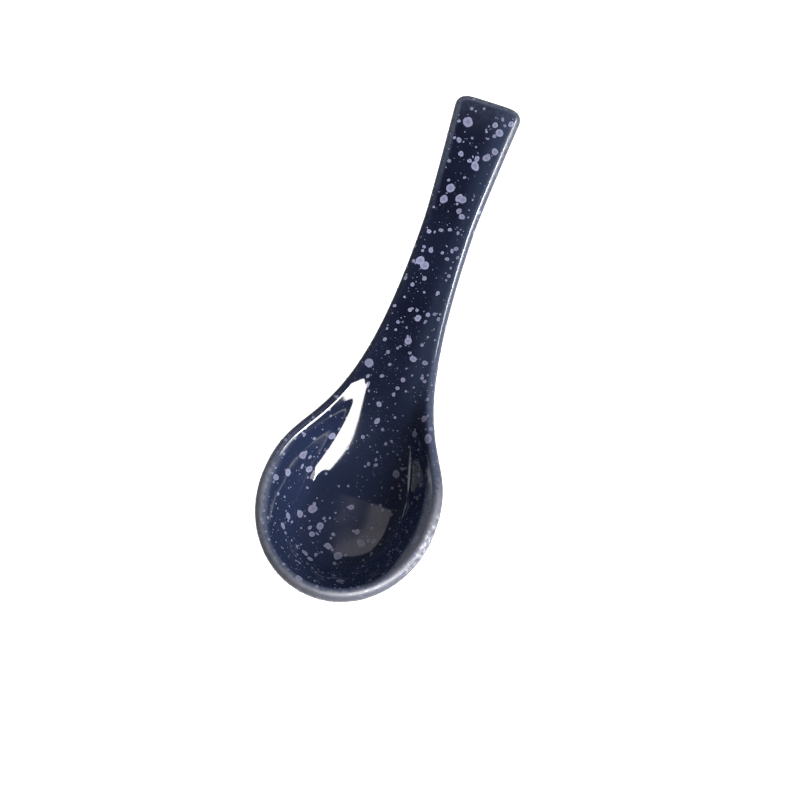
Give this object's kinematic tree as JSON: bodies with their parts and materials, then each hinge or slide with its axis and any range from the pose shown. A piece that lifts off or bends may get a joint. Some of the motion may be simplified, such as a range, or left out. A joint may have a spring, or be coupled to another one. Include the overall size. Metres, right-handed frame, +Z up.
{
  "type": "soup spoon",
  "caption": "One-piece stoneware soup spoon: deep round bowl with a rolled rim, waisted handle that rises and flares, flat bare foot, glossy navy glaze with pale spots.",
  "frame": {"origin": "middle of the flat foot, on the surface that the spoon stands on", "axes": "+Z up, +Y along the handle from the bowl to the handle's end, +X to the right seen from the tip"},
  "size_m": [0.046, 0.1335, 0.0381],
  "materials": {
    "bare_clay": "unglazed fired stoneware, matte and slightly grainy",
    "navy_glaze": "glossy near-black navy glaze with pale lilac-grey spots and fine specks"
  },
  "bodies": {
    "root": {"clay_body": "bare_clay", "glaze_coat": "navy_glaze"}
  },
  "joints": []
}
